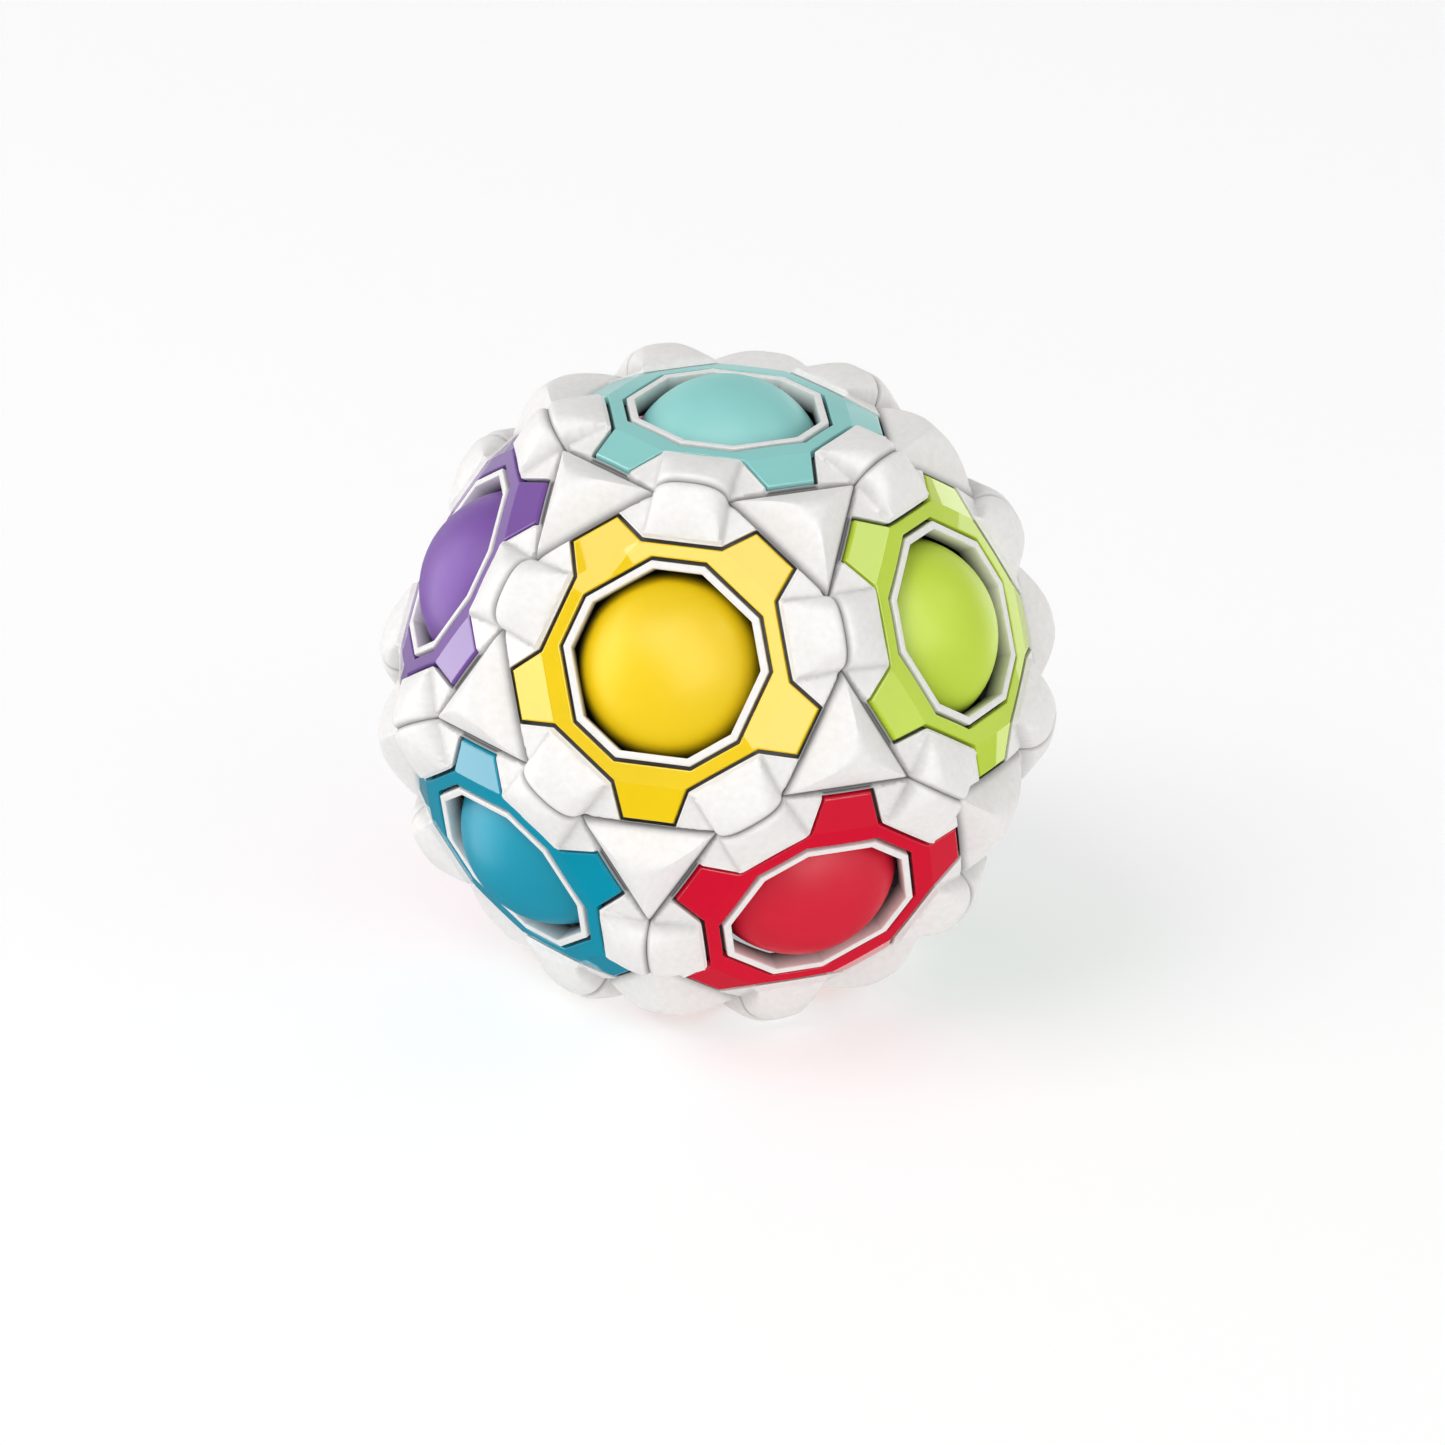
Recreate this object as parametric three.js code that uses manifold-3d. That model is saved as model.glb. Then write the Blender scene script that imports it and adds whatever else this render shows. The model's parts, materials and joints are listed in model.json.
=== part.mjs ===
// A ball puzzle. Twelve white five-sided panels make a hollow shell. Each panel has a ten-sided hole
// with a raised collar, a coloured bezel of five teeth let in round the collar, and five pillows that
// meet the neighbouring panels' pillows. Twenty caps rivet the panels together, three at a time.
// Eleven coloured balls sit behind the holes on a soft core. The hole at the bottom is empty, so a
// ball beside it can be pushed in, rolled under the web between the two holes, and come out there.
// Millimetres, +Z up. The origin is on the surface that the puzzle stands on, under its centre.
import * as THREE from "three";
import { ConvexGeometry } from "three/addons/geometries/ConvexGeometry.js";
import { mergeVertices } from "three/addons/utils/BufferGeometryUtils.js";
import Module from "manifold-3d";

// ---- Driving dimensions ------------------------------------------------------------------------
// Heights are along a face's own axis from the puzzle's centre; radii with no other note are from
// that axis. Angles are in degrees.
const GROOVE_RADIUS = 32.45; // from the centre to the nodes, where the grooves between panels meet
const ARCH_RADIUS = 35.2; // from the centre to the top of a pillow's arch
const ARCH_FULLNESS = 0.85; // below 1 the arch is fuller than half an ellipse
const INNER_RADIUS = 29.6; // the smooth inside that the balls roll under
const INNER_DETAIL = 5;
const SHELL_DEPTH = 5; // the panel's solids reach this far in before the inside is cut out of them
const SEAM = 0.3; // between neighbouring panels
const NODE_ANGLE = 6.72; // from the middle of a panel's side to the node near its end
const PUZZLE_CENTRE = 30.6; // above the surface it stands on, which the lowest five pillows touch

const COLLAR = { outer: 10.6, inner: 9.41, top: 30, foot: 28 }; // corner radii, then heights
const COLLAR_LONG_SIDE = 21.06; // half the angle that a side of the collar facing a tooth spans

const BEZEL = { rim: 29.88, thickness: 0.9, gap: 0.2, floorGap: 0.3 };
const TOOTH_ROOT = { radius: 12.69, halfAngle: 17.41 }; // a tooth's two inner corners, on the rim
const TOOTH_TIP = { radius: 15.89, halfAngle: 9.6, height: 28.16 }; // its two outer corners

const PILLOW_RIM = { reach: 12.45, halfWidth: 3.4, height: 30.25 }; // its end over the bezel
const PILLOW_PAD = { from: 13.6, to: 16.2, halfWidth: 2.2 }; // its flat crown
const ARCH_SIDES = 6; // straight sides of the arch at a pillow's outer end

const CAP = { seat: 30.6, gap: 0.25, rise: 3.6, rings: [0.3, 0.62] }; // rings, from side to middle
const RIVET = { radius: 1.5, hole: 1.8, head: 2.4, headTop: 29.2, headBottom: 28.7, tip: 27.9 };
const RIVET_TIP_RADIUS = 1.3;
const ROUND_SIDES = 9; // flat sides of a rivet and its hole

const BALL = { radius: 10.2, seat: 22.9, pushedIn: 19.2, detail: 3 };
const CORE = { radius: 12.4, gap: 0.3, detail: 3 };

// ---- Colours, one for each face ----------------------------------------------------------------
const PAINT = {
  mint: 0x8cd2c8,
  yellow: 0xffdc00,
  lime: 0xbedc46,
  orange: 0xf58220,
  pink: 0xf29bc1,
  purple: 0x825aaa,
  red: 0xd71932,
  green: 0x1f9d55,
  blue: 0x2350b4,
  magenta: 0xc8328c,
  teal: 0x0091af,
  coral: 0xf7a58c,
};
const TOP_FACE = "mint";
const UPPER_FACES = ["yellow", "lime", "orange", "pink", "purple"];
const LOWER_FACES = ["red", "green", "blue", "magenta", "teal"];
const EMPTY_FACE = "coral"; // the bottom face, whose hole holds no ball
const PUSHED_IN_FACE = "blue"; // its ball rests pushed in, ready to roll to the empty hole
const WHITE = 0xf0ece8;
const CORE_GREY = 0x6e7176;
const GLOSSY = 0.2; // roughnesses
const SATIN = 0.45;
const DULL = 0.8;

// ---- Directions --------------------------------------------------------------------------------
const FACE_TO_FACE = Math.atan(2); // between the axes of two neighbouring faces, in radians
const FACE_TO_SIDE = FACE_TO_FACE / 2; // from a face's axis to the middle of its side
const FACE_TO_CORNER = Math.acos(Math.sqrt((5 + 2 * Math.sqrt(5)) / 15)); // and to its corner
const SIDE_STEP = 72; // from one side of a face to the next
const SIDES = [0, 1, 2, 3, 4];
const UP = new THREE.Vector3(0, 0, 1);
const rad = THREE.MathUtils.degToRad;

// A point at a radius, an azimuth in degrees and a height.
function at(radius, azimuth, height) {
  return new THREE.Vector3(radius * Math.cos(rad(azimuth)), radius * Math.sin(rad(azimuth)), height);
}

// A unit vector at a tilt from +Z, in radians, towards an azimuth in degrees.
function toward(tilt, azimuth) {
  return at(Math.sin(tilt), azimuth, Math.cos(tilt));
}

// The turn that takes +Z to an axis and +X as near as it can to a second direction.
function turnTo(axis, side) {
  const x = side.clone().projectOnPlane(axis).normalize();
  const y = new THREE.Vector3().crossVectors(axis, x);
  return new THREE.Quaternion().setFromRotationMatrix(new THREE.Matrix4().makeBasis(x, y, axis));
}

// ---- Solids ------------------------------------------------------------------------------------
const wasm = await Module();
wasm.setup();

function solid(geometry) {
  const bare = geometry.clone();
  bare.deleteAttribute("normal");
  bare.deleteAttribute("uv");
  const merged = mergeVertices(bare, 1e-5);
  const vertProperties = new Float32Array(merged.attributes.position.array);
  const triVerts = new Uint32Array(merged.index.array);
  return new wasm.Manifold(new wasm.Mesh({ numProp: 3, vertProperties, triVerts }));
}

function geometryOf(body) {
  const mesh = body.getMesh();
  const geometry = new THREE.BufferGeometry();
  geometry.setAttribute("position", new THREE.BufferAttribute(new Float32Array(mesh.vertProperties), 3));
  geometry.setIndex(new THREE.BufferAttribute(new Uint32Array(mesh.triVerts), 1));
  return geometry;
}

function hull(points) {
  return solid(new ConvexGeometry(points));
}

function joined(bodies) {
  return bodies.reduce((sum, body) => sum.add(body));
}

// A straight prism on a flat outline.
function prism(outline, bottom, top) {
  return hull(outline.flatMap((p) => [p.clone().setZ(bottom), p.clone().setZ(top)]));
}

function sphere(radius, detail) {
  return solid(new THREE.IcosahedronGeometry(radius, detail));
}

// A closed round body about +Z, from a list of [radius, height] that rises from the axis to the axis.
function turnedBody(profile) {
  const points = profile.map(([radius, height]) => new THREE.Vector2(radius, height));
  return solid(new THREE.LatheGeometry(points, ROUND_SIDES).rotateX(Math.PI / 2));
}

// A flat counter-clockwise outline with each side moved in by a distance, or out by a negative one.
function inset(outline, distance) {
  return outline.map((p, i) => {
    const before = outline[(i + outline.length - 1) % outline.length];
    const after = outline[(i + 1) % outline.length];
    const a = new THREE.Vector2(p.x - before.x, p.y - before.y).normalize();
    const b = new THREE.Vector2(after.x - p.x, after.y - p.y).normalize();
    const reach = distance / (1 + a.dot(b));
    return new THREE.Vector3(p.x - reach * (a.y + b.y), p.y + reach * (a.x + b.x), p.z);
  });
}

// ---- Collar and bezel, in a face's own frame: +Z out along its axis, +X towards a neighbour ------
function decagon(radius) {
  const turns = [SIDE_STEP / 2 - COLLAR_LONG_SIDE, SIDE_STEP / 2 + COLLAR_LONG_SIDE];
  return SIDES.flatMap((k) => turns.map((turn) => at(radius, SIDE_STEP * k + turn, 0)));
}

const CREASE = TOOTH_ROOT.radius * Math.cos(rad(TOOTH_ROOT.halfAngle)); // from the axis to the fold
const TIP_REACH = TOOTH_TIP.radius * Math.cos(rad(TOOTH_TIP.halfAngle));
const TOOTH_TILT = Math.atan2(BEZEL.rim - TOOTH_TIP.height, TIP_REACH - CREASE);

const toothAzimuth = (k) => SIDE_STEP * (k + 0.5);

// The bezel's outline, four corners to a tooth, moved out by a gap and laid on its folded top face.
function bezelOutline(gap) {
  const corners = SIDES.flatMap((k) => [
    at(TOOTH_ROOT.radius, toothAzimuth(k) - TOOTH_ROOT.halfAngle, 0),
    at(TOOTH_TIP.radius, toothAzimuth(k) - TOOTH_TIP.halfAngle, 0),
    at(TOOTH_TIP.radius, toothAzimuth(k) + TOOTH_TIP.halfAngle, 0),
    at(TOOTH_ROOT.radius, toothAzimuth(k) + TOOTH_ROOT.halfAngle, 0),
  ]);
  return inset(corners, -gap).map((p, i) => {
    const reach = p.dot(at(1, toothAzimuth(Math.floor(i / 4)), 0));
    return p.setZ(BEZEL.rim - Math.max(0, reach - CREASE) * Math.tan(TOOTH_TILT));
  });
}

// The bezel with no hole in it. Made larger and taller, the same shape cuts its pocket.
function bezelBlank(gap, above, below) {
  const outline = bezelOutline(gap);
  const isRoot = (i) => i % 4 === 0 || i % 4 === 3;
  const rim = outline.filter((_, i) => isRoot(i));
  const teeth = SIDES.map((k) => {
    const points = outline.slice(4 * k, 4 * k + 4).flatMap((p, i) => {
      const normal = isRoot(i) ? UP : toward(TOOTH_TILT, toothAzimuth(k));
      return [p, p.clone().addScaledVector(normal, -below), p.clone().addScaledVector(UP, above)];
    });
    return hull(points);
  });
  return joined([prism(rim, BEZEL.rim - below, BEZEL.rim + above), ...teeth]);
}

function bezel() {
  const hole = prism(inset(decagon(COLLAR.outer), -BEZEL.gap), 0, GROOVE_RADIUS);
  return geometryOf(bezelBlank(0, 0, BEZEL.thickness).subtract(hole));
}

// ---- Nodes, arches and corners -----------------------------------------------------------------
const ARCH_FOOT = GROOVE_RADIUS * Math.cos(rad(NODE_ANGLE)); // from the centre to the arch's chord
const ARCH_HALF_WIDTH = GROOVE_RADIUS * Math.sin(rad(NODE_ANGLE));
const ARCH_RISE = ARCH_RADIUS - ARCH_FOOT;

// A point of side k's arch: 0 and 1 are the nodes at its feet, 0.5 is its top.
function archPoint(k, share) {
  const up = toward(FACE_TO_SIDE, SIDE_STEP * k);
  const fuller = (part) => Math.sign(part) * Math.abs(part) ** ARCH_FULLNESS;
  const width = ARCH_HALF_WIDTH * fuller(Math.cos(Math.PI * share));
  const rise = ARCH_RISE * fuller(Math.sin(Math.PI * share));
  return at(width, SIDE_STEP * k + 90, 0).addScaledVector(up, ARCH_FOOT + rise);
}

// The three nodes round a corner, in the corner's own frame: +Z out, +X towards one of the nodes.
const CORNER_ANGLE = archPoint(0, 0).angleTo(toward(FACE_TO_CORNER, toothAzimuth(0)));
const CAP_CORNERS = [0, 120, 240].map((azimuth) => toward(CORNER_ANGLE, azimuth));
CAP_CORNERS.forEach((corner) => corner.multiplyScalar(GROOVE_RADIUS));

// ---- Panel -------------------------------------------------------------------------------------
// A point over side k, by its reach from the face's axis, how far across it is, and its height.
function overSide(k, reach, across, height) {
  return at(reach, SIDE_STEP * k, height).add(at(across, SIDE_STEP * k + 90, 0));
}

// The points with copies of them deep inside, so that their hull reaches through the shell.
function deepened(points) {
  const share = 1 - SHELL_DEPTH / GROOVE_RADIUS;
  return [...points, ...points.map((p) => p.clone().multiplyScalar(share))];
}

// A pillow, from its straight end over the bezel, by its flat pad, to the arch.
function pillow(k) {
  const arch = Array.from({ length: ARCH_SIDES + 1 }, (_, i) => archPoint(k, i / ARCH_SIDES));
  const rootHalf = SIDE_STEP / 2 - TOOTH_ROOT.halfAngle;
  const ends = [-1, 1].flatMap((side) => [
    at(TOOTH_ROOT.radius, SIDE_STEP * k + side * rootHalf, BEZEL.rim),
    overSide(k, PILLOW_RIM.reach, side * PILLOW_RIM.halfWidth, PILLOW_RIM.height),
    overSide(k, PILLOW_PAD.from, side * PILLOW_PAD.halfWidth, PUZZLE_CENTRE),
    overSide(k, PILLOW_PAD.to, side * PILLOW_PAD.halfWidth, PUZZLE_CENTRE),
  ]);
  return hull(deepened([...arch, ...ends]));
}

// The panel's low ground: the rim round the collar, the teeth's places and the nodes.
function ground() {
  const nodes = SIDES.flatMap((k) => [archPoint(k, 0), archPoint(k, 1)]);
  return hull(deepened([...bezelOutline(0), ...nodes]));
}

// The wedge from the puzzle's centre that is one panel's share of the shell, less half a seam.
function wedge() {
  const apex = new THREE.Vector3(0, 0, SEAM / 2 / Math.sin(FACE_TO_SIDE));
  const corners = SIDES.map((k) => toward(FACE_TO_CORNER, toothAzimuth(k)));
  return hull([apex, ...corners.map((corner) => corner.multiplyScalar(2 * ARCH_RADIUS).add(apex))]);
}

// What a corner cap and its rivet take out of the panels under them.
function capPocket(k) {
  const outline = inset(CAP_CORNERS, -CAP.gap / 2);
  const hole = turnedBody([[0, 0], [RIVET.hole, 0], [RIVET.hole, GROOVE_RADIUS], [0, GROOVE_RADIUS]]);
  const turn = turnTo(toward(FACE_TO_CORNER, toothAzimuth(k)), toward(FACE_TO_SIDE, SIDE_STEP * k));
  const placed = new THREE.Matrix4().makeRotationFromQuaternion(turn);
  return prism(outline, CAP.seat, ARCH_RADIUS).add(hole).transform(placed.elements);
}

function panel() {
  const collar = prism(decagon(COLLAR.outer), COLLAR.foot, COLLAR.top);
  const hole = prism(decagon(COLLAR.inner), 0, ARCH_RADIUS);
  const pocket = bezelBlank(BEZEL.gap, ARCH_RADIUS - BEZEL.rim, BEZEL.thickness + BEZEL.floorGap);
  const body = joined([ground(), ...SIDES.map(pillow)]).subtract(pocket).add(collar);
  const pockets = joined([hole, sphere(INNER_RADIUS, INNER_DETAIL), ...SIDES.map(capPocket)]);
  return geometryOf(body.subtract(pockets).intersect(wedge()));
}

// ---- Corner cap, in its corner's own frame -----------------------------------------------------
// A dome on a three-sided foot: steep at the sides, level at the middle, with a ridge to each corner.
function cornerCap() {
  const foot = inset(CAP_CORNERS, CAP.gap / 2);
  const seat = foot.map((p) => p.clone().setZ(CAP.seat + CAP.gap));
  const middle = at(0, 0, foot[0].z);
  const peak = middle.clone().addScaledVector(UP, CAP.rise);
  const rings = CAP.rings.flatMap((share) => {
    const height = CAP.rise * Math.sin((share * Math.PI) / 2);
    return foot.map((p) => p.clone().lerp(middle, share).addScaledVector(UP, height));
  });
  const rivet = turnedBody([
    [0, RIVET.tip],
    [RIVET_TIP_RADIUS, RIVET.tip],
    [RIVET.head, RIVET.headBottom],
    [RIVET.head, RIVET.headTop],
    [RIVET.radius, RIVET.headTop],
    [RIVET.radius, GROOVE_RADIUS],
    [0, GROOVE_RADIUS],
  ]);
  return geometryOf(hull([...foot, ...seat, ...rings, peak]).add(rivet));
}

// ---- Balls and core ----------------------------------------------------------------------------
function ball() {
  return new THREE.IcosahedronGeometry(BALL.radius, BALL.detail);
}

// The core gives under the ball that is pushed in, so it has a dent there.
function core(pushedInAxis) {
  const dent = sphere(BALL.radius + CORE.gap, BALL.detail);
  const place = pushedInAxis.clone().multiplyScalar(BALL.pushedIn);
  return geometryOf(sphere(CORE.radius, CORE.detail).subtract(dent.translate(place.toArray())));
}

// ---- The puzzle --------------------------------------------------------------------------------
const UPPER_START = -90; // azimuth of the first upper face; the lower ring is half a step round
const LOWER_START = UPPER_START + SIDE_STEP / 2;
const DOWN = UP.clone().negate();

function faceRing(colours, tilt, start, pole) {
  return colours.map((colour, i) => ({ colour, axis: toward(tilt, start + SIDE_STEP * i), side: pole }));
}

const upper = faceRing(UPPER_FACES, FACE_TO_FACE, UPPER_START, UP);
const lower = faceRing(LOWER_FACES, Math.PI - FACE_TO_FACE, LOWER_START, DOWN);
const FACES = [
  { colour: TOP_FACE, axis: UP, side: upper[0].axis },
  ...upper,
  ...lower,
  { colour: EMPTY_FACE, axis: DOWN, side: lower[0].axis },
];

function plastic(color, roughness) {
  return new THREE.MeshStandardMaterial({ color, roughness, metalness: 0 });
}

function part(name, geometry, material) {
  const mesh = new THREE.Mesh(geometry, material);
  mesh.name = name;
  return mesh;
}

const PANEL_GEOMETRY = panel();
const BEZEL_GEOMETRY = bezel();
const CAP_GEOMETRY = cornerCap();
const white = plastic(WHITE, SATIN);

const puzzle = new THREE.Group();
puzzle.position.z = PUZZLE_CENTRE;

for (const { colour, axis, side } of FACES) {
  const paint = plastic(PAINT[colour], GLOSSY);
  const face = new THREE.Group();
  face.quaternion.copy(turnTo(axis, side));
  face.add(part(`panel_${colour}`, PANEL_GEOMETRY, white));
  face.add(part(`bezel_${colour}`, BEZEL_GEOMETRY, paint));
  if (colour !== EMPTY_FACE) {
    const seated = part(`ball_${colour}`, ball(), paint);
    seated.position.z = colour === PUSHED_IN_FACE ? BALL.pushedIn : BALL.seat;
    face.add(seated);
  }
  puzzle.add(face);
}

// A corner is where three faces meet, each a neighbour of the other two.
const areNeighbours = (a, b) => Math.abs(a.axis.angleTo(b.axis) - FACE_TO_FACE) < rad(1);
let capCount = 0;
FACES.forEach((a, i) => {
  FACES.slice(i + 1).forEach((b, j) => {
    for (const c of FACES.slice(i + j + 2)) {
      if (!areNeighbours(a, b) || !areNeighbours(b, c) || !areNeighbours(a, c)) continue;
      const axis = a.axis.clone().add(b.axis).add(c.axis).normalize();
      capCount += 1;
      const cap = part(`corner_cap_${String(capCount).padStart(2, "0")}`, CAP_GEOMETRY, white);
      cap.quaternion.copy(turnTo(axis, a.axis.clone().add(b.axis)));
      puzzle.add(cap);
    }
  });
});

const pushedInAxis = lower[LOWER_FACES.indexOf(PUSHED_IN_FACE)].axis;
puzzle.add(part("soft_core", core(pushedInAxis), plastic(CORE_GREY, DULL)));

export default puzzle;
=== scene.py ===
"""Looks for a ball puzzle: twelve white panels with coloured bezels and balls, and twenty corner caps.

Shapes are worked out in millimetres from the puzzle's centre, and made in metres in the frame's place.
"""
import json
import math
from itertools import combinations

import bmesh
import bpy
import numpy as np
from mathutils import Matrix, Vector
from mathutils.geometry import delaunay_2d_cdt


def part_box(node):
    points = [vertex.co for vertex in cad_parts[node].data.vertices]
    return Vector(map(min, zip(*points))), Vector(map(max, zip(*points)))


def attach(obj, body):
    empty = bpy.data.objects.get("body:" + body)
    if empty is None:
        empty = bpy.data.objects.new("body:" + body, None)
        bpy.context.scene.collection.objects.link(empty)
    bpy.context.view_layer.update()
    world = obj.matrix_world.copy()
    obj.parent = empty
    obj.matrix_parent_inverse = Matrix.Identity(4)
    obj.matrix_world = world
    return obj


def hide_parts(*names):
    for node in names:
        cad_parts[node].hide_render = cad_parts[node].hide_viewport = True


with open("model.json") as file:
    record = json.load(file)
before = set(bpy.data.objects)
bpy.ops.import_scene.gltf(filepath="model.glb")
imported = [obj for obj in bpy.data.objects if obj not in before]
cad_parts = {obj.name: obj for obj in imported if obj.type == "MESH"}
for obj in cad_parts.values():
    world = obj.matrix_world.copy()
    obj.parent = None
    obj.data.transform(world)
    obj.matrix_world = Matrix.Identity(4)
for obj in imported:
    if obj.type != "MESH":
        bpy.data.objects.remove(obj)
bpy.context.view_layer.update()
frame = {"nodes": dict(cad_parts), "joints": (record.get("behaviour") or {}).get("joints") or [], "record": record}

MM = 0.001

# ---- The puzzle's plan -------------------------------------------------------------------------
# Heights are along a face's axis from the puzzle's centre, and radii are from that axis.
GROOVE_RADIUS = 32.45  # from the centre to the nodes, where grooves meet
ARCH_RADIUS = 35.2  # from the centre to the top of a pillow's arch
ARCH_FULLNESS = 0.85  # below 1 the arch is fuller than half an ellipse
INNER_RADIUS = 29.6  # the inside of the shell
NODE_ANGLE = math.radians(6.72)  # from the middle of a panel's side to the node near its end
SIDE_STEP = math.radians(72)
FACE_TO_FACE = math.atan(2)
FACE_TO_SIDE = FACE_TO_FACE / 2
FACE_TO_CORNER = math.acos(math.sqrt((5 + 2 * math.sqrt(5)) / 15))
ARCH_FOOT = GROOVE_RADIUS * math.cos(NODE_ANGLE)
ARCH_HALF_WIDTH = GROOVE_RADIUS * math.sin(NODE_ANGLE)

COLLAR_OUTER, COLLAR_INNER, COLLAR_TOP = 10.42, 9.62, 30.15
COLLAR_LONG_SIDE = math.radians(21.06)  # half the angle of a side that faces a tooth
COLLAR_EDGE = 0.12  # radius of its rounded edges

BEZEL_RIM = 29.98  # height of the bezel's inner edge
BEZEL_DOME = 90.0  # radius that the bezel's ring is domed to
BEZEL_THICKNESS = 0.9
BEZEL_GAP = 0.22  # from the outline of its opening to the white round it
BEZEL_INSET = 0.2  # from that outline to the bezel
BEZEL_HOLE = 10.86
BEZEL_EDGE = 0.13
POCKET_DEPTH = 1.2
ROOT_RADIUS, ROOT_HALF_ANGLE = 12.69, math.radians(17.41)  # a tooth's corners on the rim
TIP_RADIUS, TIP_HALF_ANGLE, TIP_HEIGHT = 15.89, math.radians(9.6), 28.16  # and at its end
CREASE = ROOT_RADIUS * math.cos(ROOT_HALF_ANGLE)
TIP_REACH = TIP_RADIUS * math.cos(TIP_HALF_ANGLE)

# The white ground round the bezel, and the bead on its edge.
WHITE_LIFT = 0.06
BEAD = {"edge": 0.07, "width": 0.12, "step": 0.05, "height": 0.07}
BEAD_REACH = BEZEL_GAP + BEAD["edge"] + BEAD["width"] + BEAD["step"]

# Grooves: how deep, and how far to each side of their bottom, on a seam and round a cap.
GROOVE_GAP = 0.02
SEAM_GROOVE = {"depth": 0.6, "reach": 0.8}
CAP_GROOVE = {"depth": 0.45, "reach": 0.5}
PILLOW_END = {"reach": 12.62, "half_width": 3.95, "height": 30.16, "slope": math.radians(60)}
PILLOW_FOOT = 0.12  # from a pillow's end to the foot of its end slope
PILLOW_CROWN = {"height": 0.6, "outer_reach": 18.4, "half_width": 3.7}
PILLOW_ROUND = 0.25  # where a pillow's top turns down into its end slope
VALLEY_ROUND = 0.22  # where a pillow meets the ground
PILLOW_FACETS = 40
CAP_RISE = 3.6  # of a cap's dome over the plane of its corners
CAP_RIDGE = 0.1  # how round its ridges are
CAP_SEAT = 30.85

# The rivet under a cap, and the tongue of a panel that it holds: radii, then heights.
RIVET = {"radius": 1.5, "hole": 1.8, "head": 2.4, "end": 1.3}
RIVET_HEAD_TOP, RIVET_HEAD_BOTTOM, RIVET_END = 29.2, 28.7, 27.9
RIVET_OVERLAP = 0.2  # into the cap
RIVET_SIDES = 32
TONGUE_GAP = 0.3  # under the cap
TONGUE_OVERLAP = 1.02  # how far it starts inside the rest of the panel, as a share of its length
TONGUE_TURNS = np.radians([112, 94, 77, 60, 43, 26, 8])  # of its points round the rivet's hole

BALL_RADIUS = 10.2
PARTING_LINE = {"rise": 0.0012, "half_width": 0.12}  # on a ball: a share of its radius, and mm
CORE_RADIUS = 12.4
DENT_GAP = 0.3
SPHERE_DETAIL = 5

# How far painted shade darkens the white, from 0 to 1, and how far to each side in mm: in grooves, in the valleys
# beside the pillows and at the nodes.
GROOVE_SHADE = {"shade": 0.62, "reach": 0.42}
VALLEY_SHADE = {"shade": 0.25, "reach": 0.4}
NODE_SHADE = {"shade": 1.0, "reach": 0.3}
BORDER_LOOPS = (GROOVE_GAP, 0.1, 0.2, 0.34, 0.5)  # rows of points along the edge of a cap or panel

# Painted shade, for the shadow in the hole: a ball darkens towards the edge of its hole, between these radii from
# the hole's axis.
BALL_SHADE_FROM, BALL_SHADE_TO = 8.2, 9.4
BALL_SHADE_POWER = 1.3
POCKET_SHADE_RATE = 3  # painted shade in a pocket is full from a third of its depth
COLLAR_LIGHT_FROM = BEZEL_RIM - 0.1  # height above which a collar gets no painted shade

# How far apart the points inside a filled region are: in mm on a bezel, and for the others on the
# plane at height 1.
BEZEL_GRID = 0.7
PANEL_GRID, INSIDE_GRID, CAP_GRID = 0.0125, 0.04, 0.0105
GRID_CLEARANCE = 0.6  # from the region's edges and lines, as a share of that distance

# How finely outlines are divided.
BEZEL_SIDES = (10, 14, 10, 22)  # pieces of a tooth's side, end and side, then of the notch
BORDER_SIDES = (22, 36)  # pieces of a seam side and of a cap side
COLLAR_PIECES = 6
VALLEY_PIECES = 16
CREASE_POINTS = 12
CREASE_MARGIN = 0.1  # from a crease's end to the bezel's rounded edge
ROUND_TURNS = np.radians([0, 30, 60, 90])  # the steps round a rounded edge

WELD = 1e-4  # mm; points nearer than this become one
SLACK = 0.01  # mm, to tell which points are on an outline
TOP_SLACK = 0.001  # mm, to tell which points are on a bezel's top
FAR = 1e3  # mm, for a ray that never meets a plane
NEIGHBOUR_DOT = 0.4  # neighbouring faces' axes have a larger dot product, and others a smaller one


# ---- Small geometry ----------------------------------------------------------------------------
def at(radius, azimuth, height):
    return np.array([radius * math.cos(azimuth), radius * math.sin(azimuth), height])


def flat_at(radius, azimuth):
    return at(radius, azimuth, 0)[:2]


def toward(tilt, azimuth):
    return at(math.sin(tilt), azimuth, math.cos(tilt))


def at_height(flat, height):
    return np.column_stack([flat, np.full(len(flat), height)])


def turn_about_z(angle):
    return np.array([[math.cos(angle), -math.sin(angle), 0], [math.sin(angle), math.cos(angle), 0],
                     [0, 0, 1]])


def turn_to(axis, side):
    """The rotation that takes +Z to axis and +X as near as it can to side."""
    z = Vector(axis).normalized()
    x = Vector(side)
    x = (x - z * x.dot(z)).normalized()
    return Matrix((x, z.cross(x), z)).transposed().to_4x4()


def moved_out(corners, distance):
    """A flat counter-clockwise outline with every side moved out by a distance."""
    out = []
    for i, p in enumerate(corners):
        a = p - corners[i - 1]
        b = corners[(i + 1) % len(corners)] - p
        a, b = a / np.linalg.norm(a), b / np.linalg.norm(b)
        reach = distance / (1 + a @ b)
        out.append(p + reach * np.array([a[1] + b[1], -a[0] - b[0]]))
    return np.array(out)


def divided(corners, counts):
    """The closed outline through the corners, with each side cut into its number of pieces."""
    corners = np.asarray(corners, float)
    points = []
    for i, p in enumerate(corners):
        following = corners[(i + 1) % len(corners)]
        count = counts[i % len(counts)]
        points += [p + (following - p) * j / count for j in range(count)]
    return np.array(points)


def plane_through(a, b, c):
    """(normal, offset) of a plane, with the normal away from the puzzle's centre."""
    normal = np.cross(b - a, c - a)
    normal /= np.linalg.norm(normal)
    if normal @ a < 0:
        normal = -normal
    return normal, normal @ a


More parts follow.
